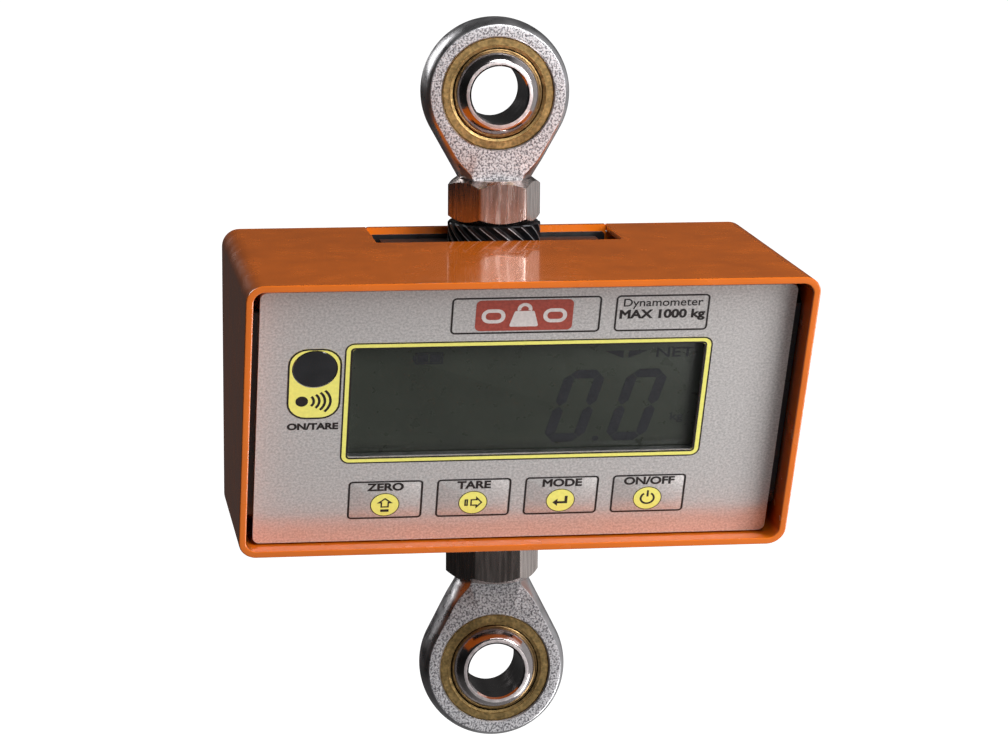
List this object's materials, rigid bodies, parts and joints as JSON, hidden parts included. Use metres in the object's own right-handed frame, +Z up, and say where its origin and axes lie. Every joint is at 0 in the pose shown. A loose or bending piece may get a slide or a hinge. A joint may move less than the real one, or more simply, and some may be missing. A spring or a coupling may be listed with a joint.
{
  "type": "crane scale",
  "caption": "Hanging crane scale: sheet-steel housing with a downward-leaning display and membrane keys, on an S-type load cell between two ball-jointed eyes.",
  "frame": {"origin": "centre of the upper eye's pin hole, the point that the scale hangs from", "axes": "+Z up along the load line, -Y out of the display side, +X to the right of someone reading the display"},
  "size_m": [0.153, 0.1031, 0.2093],
  "materials": {
    "orange_paint": "gloss orange powder coat",
    "zinc_plate": "zinc plated, slightly speckled",
    "screw_steel": "zinc plated",
    "nut_steel": "bare machined steel",
    "black_steel": "black oxide",
    "ball_steel": "ground and polished",
    "race_brass": "machined",
    "cell_coating": "satin black",
    "cover_aluminium": "satin",
    "overlay_film": "silver printed polyester film",
    "window_clear": "clear",
    "lcd_grey": "grey-green liquid crystal glass",
    "dark_plastic": "black",
    "board_green": "green solder mask",
    "cable_black": "matte",
    "cable_red": "matte",
    "battery_wrap": null
  },
  "bodies": {
    "scale": {"housing_shell": "orange_paint", "rear_cover": "orange_paint", "upper_rod_end": "zinc_plate", "lower_rod_end": "zinc_plate", "panel_bracket_left": "zinc_plate", "panel_bracket_right": "zinc_plate", "cover_screw_1": "screw_steel", "cover_screw_2": "screw_steel", "cover_screw_3": "screw_steel", "cover_screw_4": "screw_steel", "cell_screw_1": "screw_steel", "cell_screw_2": "screw_steel", "cell_spacer_1": "screw_steel", "cell_spacer_2": "screw_steel", "tray_screw_1": "screw_steel", "tray_screw_2": "screw_steel", "board_screw_1": "screw_steel", "board_screw_2": "screw_steel", "board_screw_3": "screw_steel", "board_screw_4": "screw_steel", "panel_nut_1": "screw_steel", "panel_nut_2": "screw_steel", "panel_nut_3": "screw_steel", "panel_nut_4": "screw_steel", "battery_contact_upper": "screw_steel", "battery_contact_lower": "screw_steel", "upper_lock_nut": "nut_steel", "lower_lock_nut": "nut_steel", "upper_lock_collar": "black_steel", "lower_lock_collar": "black_steel", "cell_cable_gland": "black_steel", "upper_bearing_race": "race_brass", "lower_bearing_race": "race_brass", "load_cell": "cell_coating", "gauge_cover_front": "cover_aluminium", "gauge_cover_rear": "cover_aluminium", "front_plate": "cover_aluminium", "panel_overlay": "overlay_film", "display_window": "window_clear", "lcd_glass": "lcd_grey", "lcd_holder": "dark_plastic", "sensor_window": "dark_plastic", "battery_tray": "dark_plastic", "key_switch_1": "dark_plastic", "key_switch_2": "dark_plastic", "key_switch_3": "dark_plastic", "key_switch_4": "dark_plastic", "circuit_board": "board_green", "cell_cable": "cable_black", "battery_lead": "cable_red", "battery_1": "battery_wrap", "battery_2": "battery_wrap", "battery_3": "battery_wrap", "battery_4": "battery_wrap"},
    "upper_ball": {"upper_ball": "ball_steel"},
    "lower_ball": {"lower_ball": "ball_steel"},
    "zero_key": {"zero_key": "overlay_film"},
    "tare_key": {"tare_key": "overlay_film"},
    "mode_key": {"mode_key": "overlay_film"},
    "power_key": {"power_key": "overlay_film"}
  },
  "joints": [
    {"name": "upper_ball_tilt", "type": "hinge", "parent": "scale", "child": "upper_ball", "pos_m": [0, 0, 0], "axis": [1, 0, 0], "range_deg": [-14, 14]},
    {"name": "lower_ball_tilt", "type": "hinge", "parent": "scale", "child": "lower_ball", "pos_m": [0, 0, -0.1671], "axis": [1, 0, 0], "range_deg": [-14, 14]},
    {"name": "zero_key_press", "type": "slide", "parent": "scale", "child": "zero_key", "axis": [0, 0.8996, 0.4368], "range_m": [0, 0.0004], "stiffness_N_per_m": 1500},
    {"name": "tare_key_press", "type": "slide", "parent": "scale", "child": "tare_key", "axis": [0, 0.8996, 0.4368], "range_m": [0, 0.0004], "stiffness_N_per_m": 1500},
    {"name": "mode_key_press", "type": "slide", "parent": "scale", "child": "mode_key", "axis": [0, 0.8996, 0.4368], "range_m": [0, 0.0004], "stiffness_N_per_m": 1500},
    {"name": "power_key_press", "type": "slide", "parent": "scale", "child": "power_key", "axis": [0, 0.8996, 0.4368], "range_m": [0, 0.0004], "stiffness_N_per_m": 1500}
  ]
}
